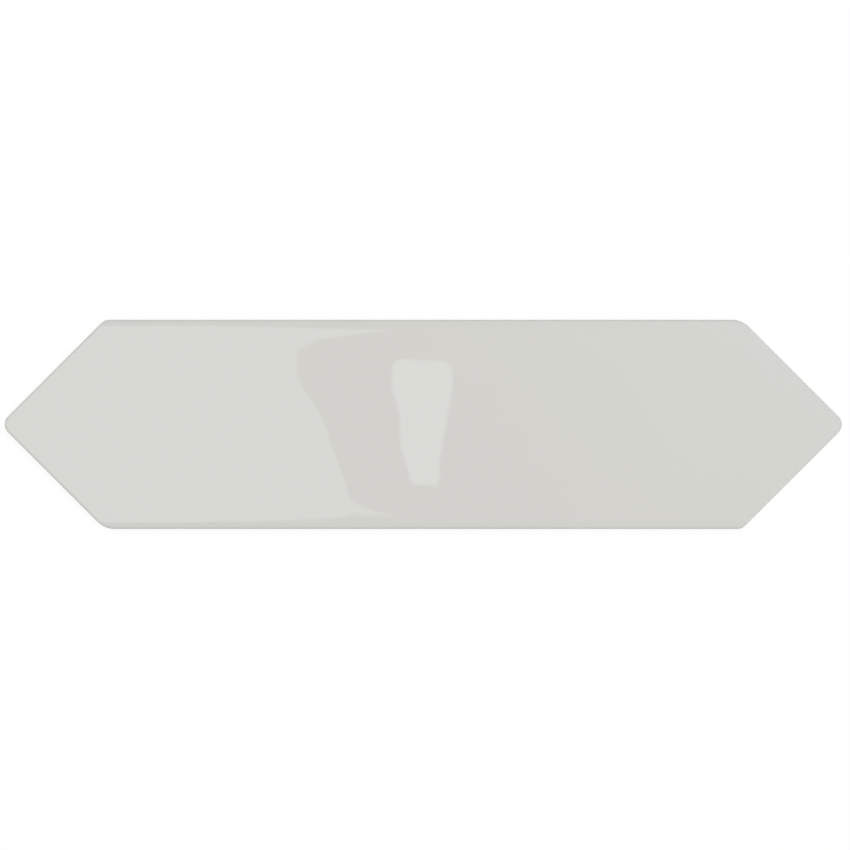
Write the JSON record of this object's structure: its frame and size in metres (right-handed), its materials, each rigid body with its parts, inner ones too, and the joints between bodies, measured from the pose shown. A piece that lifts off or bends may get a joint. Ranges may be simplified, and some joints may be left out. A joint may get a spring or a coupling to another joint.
{
  "type": "picket tile",
  "caption": "Glazed ceramic wall tile in a long hexagon with a right-angled point at each end, eased long edges, a soft lip and a keyed back for adhesive.",
  "frame": {"origin": "centre of the keyed back, in the plane that the tile lies on", "axes": "+X along the length towards one point, +Y across the width, +Z out of the glazed face"},
  "size_m": [0.3, 0.075, 0.009],
  "materials": {
    "glazed_body": "glossy pale warm grey glaze over a cream biscuit body"
  },
  "bodies": {
    "root": {"picket_tile": "glazed_body"}
  },
  "joints": []
}
